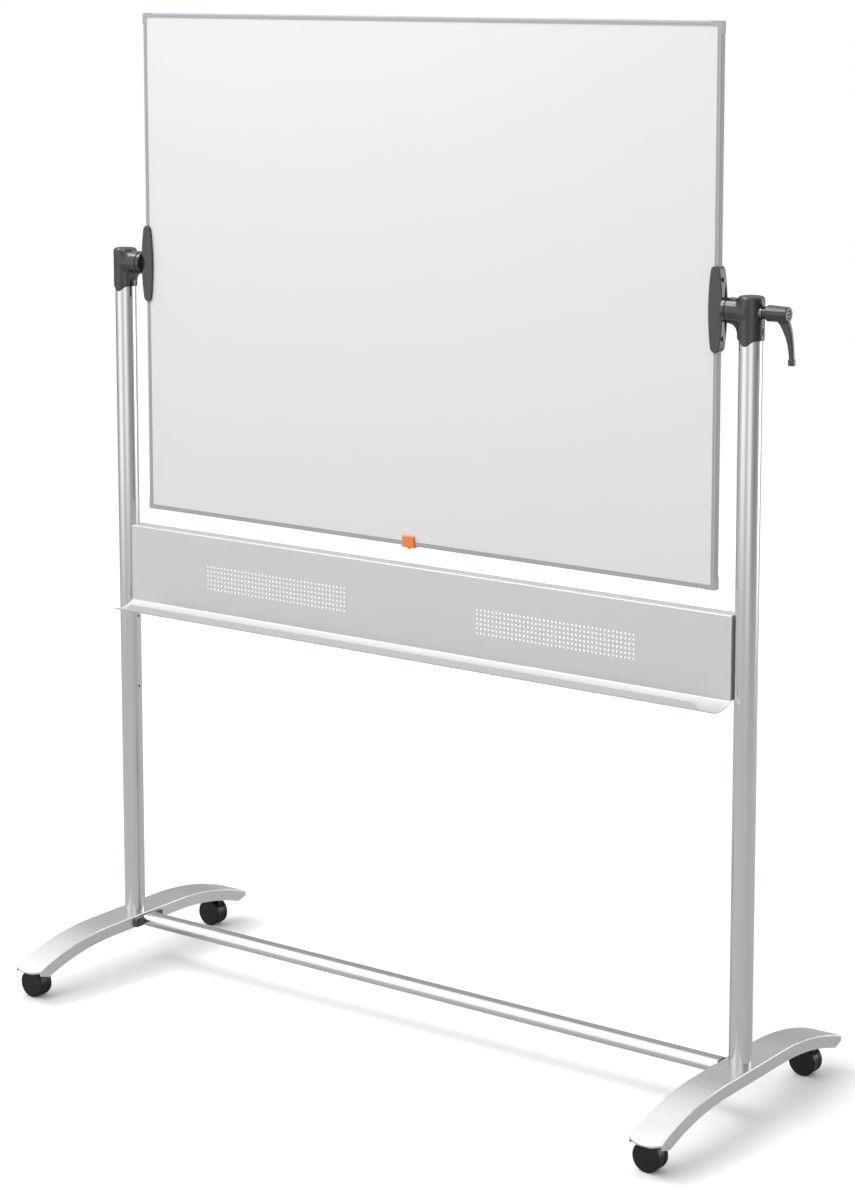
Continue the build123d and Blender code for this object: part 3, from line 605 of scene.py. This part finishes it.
def lever(x, y, z):
    """Tapered hub along the pivot, the arm and a small knob at its end."""
    from_pivot = np.hypot(y, z - PIVOT_Z)
    tapered = np.clip((x - HUB_TAPER_START_X) / (HUB_END_X - HUB_TAPER_START_X), 0.0, 1.0)
    radius = HUB_RADIUS - HUB_TAPER * tapered
    hub = rod(from_pivot - radius, x, 0.0, HUB_START_X, HUB_END_X, HUB_ROUNDING)
    past = [np.abs(a - at) - half for a, at, half in zip((x, y, z), KNOB_AT, KNOB_HALF)]
    knob = soft_box(past, KNOB_ROUNDING)
    solid = soft_union(soft_union(hub, lever_arm(x, y, z), 3.0), knob, 0.5)
    holes = (
        rod(from_pivot, x, STUD_SOCKET_RADIUS, STUD_SOCKET_START_X, STUD_SOCKET_END_X),
        rod(from_pivot, x, HANDLE_SCREW_RADIUS, HANDLE_SCREW_START_X, HANDLE_HOLES_END_X),
        rod(from_pivot, x, HANDLE_HEAD_RADIUS, HANDLE_HEAD_START_X, HANDLE_HOLES_END_X),
    )
    return soft_cut(solid, holes, 0.4)


# ------------------------------------------------------ distances to meshes
def cut_edges(axis, field, axes, step):
    """Grid edges along one axis that the surface cuts: their starts, cut points and distances."""
    start = [slice(None)] * 3
    stop = [slice(None)] * 3
    start[axis] = slice(0, -1)
    stop[axis] = slice(1, None)
    near, far = field[tuple(start)], field[tuple(stop)]
    index = np.argwhere((near < 0) != (far < 0))
    near_cut = near[tuple(index.T)]
    far_cut = far[tuple(index.T)]
    points = np.stack([axes[k][index[:, k]] for k in range(3)], axis=1)
    points[:, axis] += near_cut / (near_cut - far_cut) * step
    others = [k for k in range(3) if k != axis]
    inside = [(index[:, k] > 0) & (index[:, k] < field.shape[k] - 1) for k in others]
    kept = np.all(inside, axis=0)
    return index[kept], points[kept], near_cut[kept]


def surface_nets(distance, low, high, step):
    """Vertices and quads of the surface where the distance is zero."""
    axes = [np.arange(a - step, b + 2 * step, step) for a, b in zip(low, high)]
    field = distance(*np.meshgrid(*axes, indexing="ij"))
    cells = tuple(n - 1 for n in field.shape)
    total = np.zeros((*cells, 3))
    count = np.zeros(cells)
    rings = []
    for axis in range(3):
        index, points, near_cut = cut_edges(axis, field, axes, step)
        others = [k for k in range(3) if k != axis]
        ring = []
        for back in ((0, 0), (1, 0), (1, 1), (0, 1)):
            cell = index.copy()
            cell[:, others] -= back
            np.add.at(total, tuple(cell.T), points)
            np.add.at(count, tuple(cell.T), 1.0)
            ring.append(cell)
        rings.append((ring, (near_cut < 0) != (axis == Y)))
    used = np.argwhere(count > 0)
    ids = -np.ones(cells, dtype=int)
    ids[tuple(used.T)] = np.arange(len(used))
    vertices = total[tuple(used.T)] / count[tuple(used.T)][:, None]
    quads = []
    for ring, turned in rings:
        corners = np.stack([ids[tuple(cell.T)] for cell in ring], axis=1)
        corners[turned] = corners[turned][:, ::-1]
        quads.append(corners)
    return settle(distance, vertices), np.concatenate(quads)


def settle(distance, vertices):
    """Moves the vertices onto the surface along the distance's gradient."""
    small = 0.02
    furthest = 0.4
    for _ in range(3):
        here = distance(*vertices.T)
        slope = np.empty_like(vertices)
        for axis in range(3):
            shifted = vertices.copy()
            shifted[:, axis] += small
            slope[:, axis] = (distance(*shifted.T) - here) / small
        size = np.maximum((slope**2).sum(axis=1), 0.25)
        move = -(here / size)[:, None] * slope
        vertices = vertices + np.clip(move, -furthest, furthest)
    return vertices


def moulded_piece(name, distance, box, step, node, body, slot_name, side=1):
    """Smooth piece that stands for a CAD node; side -1 mirrors it to the left."""
    vertices, quads = surface_nets(distance, *box, step)
    vertices = vertices * 0.001 * np.array((side, 1.0, 1.0))
    if side < 0:
        quads = quads[:, ::-1]
    mesh = bpy.data.meshes.new(name)
    mesh.from_pydata(vertices.tolist(), [], quads.tolist())
    mesh.shade_smooth()
    mesh.set_sharp_from_angle(angle=math.radians(SHARP_ANGLE))
    mesh.materials.append(materials[slot_name])
    piece = bpy.data.objects.new(name, mesh)
    bpy.context.scene.collection.objects.link(piece)
    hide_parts(node)
    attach(piece, body)


def housing_piece(side_name, distance, side):
    moulded_piece(
        "housing_" + side_name,
        distance,
        HOUSING_BOX,
        HOUSING_STEP,
        "pivot_housing_" + side_name,
        "stand",
        "dark_grey_plastic",
        side,
    )


make_camera()
make_world()
make_floor()
make_key_light()
materials = make_materials()
dress_nodes(materials)
housing_piece("left", housing, -1)
housing_piece("right", housing_with_stud_hole, 1)
moulded_piece("lever", lever, LEVER_BOX, LEVER_STEP, "clamp_handle", "clamp_lever", "lever_black")
